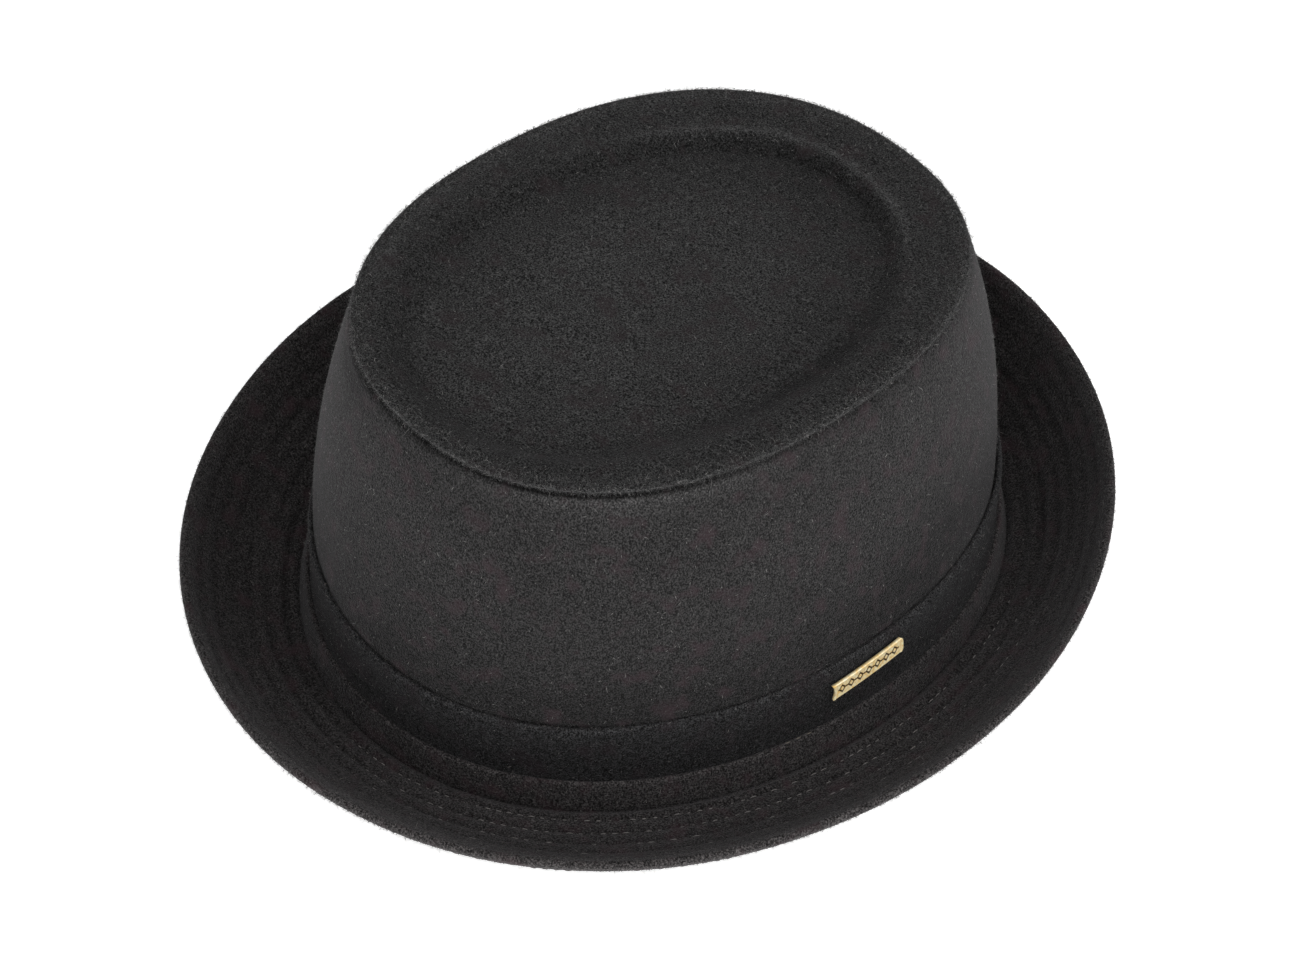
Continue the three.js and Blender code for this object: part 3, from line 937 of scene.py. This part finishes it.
def felted_wool(name, deep, light, tint, grain, stretch, sheen, clumped):
    """Wool cloth milled and brushed until its weave is hidden. It scatters nearly all its light.
    Its tangled fibres show as curly strands over a fine grain of light on dark, and its tone drifts
    in slow patches with flecks of a warmer wool in them. A value on the mesh scales the tone with
    painted light and shade: painted highlights on folds and edges, and painted shade in seams and
    creases. The nap glows where it is seen edge on. grain is the width of a tuft of fibres in
    millimetres, stretch how much longer than wide the brushed tufts are along the Z axis, and
    clumped how much the tone differs between clumps of them."""
    material, tree, out = blank(name)
    place = add(tree, "ShaderNodeTexCoord").outputs["Object"]
    brushed_and_lit = add(tree, "ShaderNodeMapping", inputs={
        "Vector": place, "Scale": (1, 1, 1 / stretch),
    }).outputs["Vector"]
    tufts = noise(tree, brushed_and_lit, grain, 2.0, 0.5)
    clumps = noise(tree, brushed_and_lit, 4 * grain, 3.0, 0.6)
    patches = noise(tree, place, 24, 4.0, 0.7)
    flecks = noise(tree, place, 7, 2.0)
    fibres = maths(tree, "MAXIMUM", strands(tree, brushed_and_lit, 1.9), strands(tree, brushed_and_lit, 1.25))

    # Light on dark, in the grain and along the strands
    pale = maths(tree, "ADD", ramp(tree, tufts, 0.42, 0.76), maths(tree, "MULTIPLY", fibres, 0.2))
    ground = blend(tree, pale, colour(deep), colour(light))
    # Painted light and shade from the mesh, from 0, darkest, to 1, lightest, scale the tone
    painted_light_and_cut = add(tree, "ShaderNodeAttribute", {"attribute_name": "painted_light_and_cut"}).outputs["Fac"]
    tone = ramp(tree, painted_light_and_cut, 0.0, 1.0, 0.3, 1.7)
    tone = maths(tree, "MULTIPLY", tone, ramp(tree, patches, 0.3, 0.7, 0.9, 1.1))
    uneven = ramp(tree, clumps, 0.3, 0.7, 1 - clumped, 1 + clumped)
    tone = maths(tree, "MULTIPLY", tone, uneven)
    toned = add(tree, "ShaderNodeVectorMath", {"operation": "SCALE"}, {
        "Vector": ground, "Scale": tone,
    }).outputs["Vector"]
    tinted = blend(tree, ramp(tree, flecks, 0.54, 0.72, 0.0, 0.6), toned, colour(tint))

    fine = add(tree, "ShaderNodeBump", inputs={
        "Height": pale, "Strength": 0.6, "Distance": 0.3 * MM,
    }).outputs["Normal"]
    coarse = add(tree, "ShaderNodeBump", inputs={
        "Height": clumps, "Strength": 0.4, "Distance": 0.7 * MM, "Normal": fine,
    }).outputs["Normal"]
    shader = add(tree, "ShaderNodeBsdfPrincipled", inputs={
        "Base Color": tinted, "Roughness": 0.95, "IOR": 1.5, "Specular IOR Level": 0.1,
        "Sheen Weight": sheen, "Sheen Roughness": 0.4, "Sheen Tint": colour("#9A989A"),
        "Normal": coarse,
    })
    tree.links.new(shader.outputs[0], out.inputs["Surface"])
    return material


def loose_wool(name, dark, pale):
    """Single wool fibres. Each mesh piece is one fibre with its own tone, most of them the
    cloth's own charcoal and a few pale."""
    material, tree, out = blank(name)
    chance = add(tree, "ShaderNodeNewGeometry").outputs["Random Per Island"]
    paler = maths(tree, "POWER", ramp(tree, chance, 0.55, 1.0), 4.0)
    tone = blend(tree, paler, colour(dark), colour(pale))
    shader = add(tree, "ShaderNodeBsdfPrincipled", inputs={
        "Base Color": tone, "Roughness": 0.6, "IOR": 1.55, "Specular IOR Level": 0.3,
        "Sheen Weight": 0.3,
    })
    tree.links.new(shader.outputs[0], out.inputs["Surface"])
    return material


def sewing_thread(name, code):
    """Twisted polyester thread: a soft shine broken by the twist, every 0.5 mm."""
    material, tree, out = blank(name)
    place = add(tree, "ShaderNodeTexCoord").outputs["Object"]
    twist = noise(tree, place, 0.5)
    level = ramp(tree, twist, 0.3, 0.7, 0.6, 1.3)
    toned = add(tree, "ShaderNodeVectorMath", {"operation": "SCALE"}, {
        "Vector": colour(code)[:3], "Scale": level,
    }).outputs["Vector"]
    relief = add(tree, "ShaderNodeBump", inputs={
        "Height": twist, "Strength": 0.5, "Distance": 0.1 * MM,
    }).outputs["Normal"]
    shader = add(tree, "ShaderNodeBsdfPrincipled", inputs={
        "Base Color": toned, "Roughness": 0.55, "IOR": 1.5, "Normal": relief,
    })
    tree.links.new(shader.outputs[0], out.inputs["Surface"])
    return material


def lacquered_gilt(name):
    """Thin brass with a pale gold lacquer. The lacquer's pigment scatters most of the light
    and the metal mirrors the rest, a little hazily. A dark brown fill is left in the cuts."""
    material, tree, out = blank(name)
    place = add(tree, "ShaderNodeTexCoord").outputs["Object"]
    haze = ramp(tree, noise(tree, place, 1.1, 4.0, 0.6), 0.35, 0.65)
    cut = add(tree, "ShaderNodeAttribute", {"attribute_name": "painted_light_and_cut"}).outputs["Fac"]
    gold = blend(tree, haze, colour("#FFF6D2"), colour("#F0C878"))
    filled = blend(tree, cut, gold, colour("#33200C"))
    relief = add(tree, "ShaderNodeBump", inputs={
        "Height": haze, "Strength": 0.2, "Distance": 0.05 * MM,
    }).outputs["Normal"]
    shader = add(tree, "ShaderNodeBsdfPrincipled", inputs={
        "Base Color": filled, "Metallic": ramp(tree, cut, 0.0, 1.0, 0.12, 0.0),
        "Roughness": ramp(tree, haze, 0.0, 1.0, 0.28, 0.42), "Normal": relief,
        "Specular IOR Level": ramp(tree, cut, 0.0, 1.0, 0.5, 0.1),
    })
    tree.links.new(shader.outputs[0], out.inputs["Surface"])
    return material


crown_wool = felted_wool(
    "brushed_wool_crown", "#161616", "#484747", "#3A2E32", 0.42, 1.3, 0.32, 0.1)
tip_wool = felted_wool("milled_wool_tip", "#0B0B0B", "#505050", "#30282A", 0.46, 1.0, 0.28, 0.26)
band_wool = felted_wool("pressed_wool_band", "#080808", "#3D3D3E", "#241D20", 0.46, 1.0, 0.15, 0.36)
brim_wool = felted_wool("quilted_wool_brim", "#0F0E0E", "#514E4E", "#3C2D31", 0.5, 1.0, 0.36, 0.24)
crown_fibre = loose_wool("loose_wool_crown", "#272727", "#989694")
brim_fibre = loose_wool("loose_wool_brim", "#232223", "#85807D")
thread = sewing_thread("charcoal_sewing_thread", "#4A4849")
brim_thread = sewing_thread("grey_sewing_thread", "#7E7A78")
pale_thread = sewing_thread("pale_sewing_thread", "#6E675D")
gilt = lacquered_gilt("pale_gilt_lacquer")

dressed = [
    (crown_side, crown_wool, "crown_cloth", ["crown_side"]),
    (crown_tip, tip_wool, "crown_cloth", ["crown_tip"]),
    (hat_band, band_wool, "band_cloth", ["hat_band"]),
    (brim, brim_wool, "brim_cloth", ["brim"]),
    (band_plate, gilt, "gilt_plate", ["band_plate"]),
    (brim_stitches, brim_thread, "brim_cloth", []),
    (tip_stitches, thread, "crown_cloth", []),
    (lap_thread, pale_thread, "brim_cloth", []),
]
dressed += [(nap_piece, crown_fibre, "crown_cloth", []) for nap_piece in crown_naps]
dressed += [(nap_piece, brim_fibre, "brim_cloth", []) for nap_piece in brim_naps]
for piece, material, slot, nodes in dressed:
    piece.data.materials.append(material)
    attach(piece, "root")
    if nodes:
        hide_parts(*nodes)


# Floor, light and camera

# Metres
FLOOR_HALF = 4.0
LIGHT_DISTANCE = 1.8


def studio_floor():
    """A pale matt sheet far wider than the view, lit from below as on a light table."""
    material, tree, out = blank("pale_studio_paper")
    shader = add(tree, "ShaderNodeBsdfPrincipled", inputs={
        "Base Color": colour("#F4F4F3"), "Roughness": 0.9, "Specular IOR Level": 0.1,
        "Emission Color": (1, 1, 1, 1), "Emission Strength": 0.75,
    })
    tree.links.new(shader.outputs[0], out.inputs["Surface"])
    mesh = bpy.data.meshes.new("studio_floor")
    mesh.from_pydata([
        (-FLOOR_HALF, -FLOOR_HALF, 0), (FLOOR_HALF, -FLOOR_HALF, 0),
        (FLOOR_HALF, FLOOR_HALF, 0), (-FLOOR_HALF, FLOOR_HALF, 0),
    ], [], [(0, 1, 2, 3)])
    floor = bpy.data.objects.new("studio_floor", mesh)
    bpy.context.scene.collection.objects.link(floor)
    floor.data.materials.append(material)


def soft_light(name, azimuth, elevation, size, power):
    """A square soft box, its size in metres and its power in watts, that faces the hat's
    middle from an azimuth and elevation in degrees."""
    az, el = math.radians(azimuth), math.radians(elevation)
    back = Vector((math.sin(az) * math.cos(el), -math.cos(az) * math.cos(el), math.sin(el)))
    data = bpy.data.lights.new(name, "AREA")
    data.size = size
    data.energy = power
    light = bpy.data.objects.new(name, data)
    light.location = back * LIGHT_DISTANCE + Vector((0, 0, 0.06))
    light.rotation_euler = back.to_track_quat("Z", "Y").to_euler()
    bpy.context.scene.collection.objects.link(light)


def even_sky(strength):
    """A plain white surround."""
    world = bpy.data.worlds.new("white_surround")
    world.use_nodes = True
    background = world.node_tree.nodes["Background"]
    background.inputs["Color"].default_value = (1, 1, 1, 1)
    background.inputs["Strength"].default_value = strength
    bpy.context.scene.world = world


def photo_camera():
    """The camera, solved from the hat's own ovals in the photograph: it looks at a point in
    the hat from an azimuth, elevation and distance, and is turned by a small roll."""
    azimuth, elevation, roll = (math.radians(a) for a in (46.89, 44.83, 1.59))
    aim = Vector((9.9, OVAL_Y - 14.2, 47.8)) * MM
    distance = 1124.08 * MM
    back = Vector((
        math.sin(azimuth) * math.cos(elevation),
        -math.cos(azimuth) * math.cos(elevation),
        math.sin(elevation),
    ))
    level = Vector((math.cos(azimuth), math.sin(azimuth), 0))
    upward = back.cross(level)
    right = level * math.cos(roll) + upward * math.sin(roll)
    up = back.cross(right)
    data = bpy.data.cameras.new("photo_camera")
    data.lens = 110.65
    data.sensor_width = 36.0
    data.clip_end = 20
    camera = bpy.data.objects.new("photo_camera", data)
    turned = Matrix((right, up, back)).transposed().to_4x4()
    camera.matrix_world = Matrix.Translation(aim + back * distance) @ turned
    bpy.context.scene.collection.objects.link(camera)
    bpy.context.scene.camera = camera


studio_floor()
even_sky(0.24)
soft_light("top_box", 47, 85, 1.2, 5)
soft_light("front_box", 47, 35, 1.2, 5)
soft_light("right_box", 124, 40, 1.2, 11)
for low_azimuth, power in ((-3, 6), (47, 8), (97, 4)):
    soft_light("low_box", low_azimuth, 14, 1.0, power)
photo_camera()
bpy.context.scene.view_settings.view_transform = "Standard"
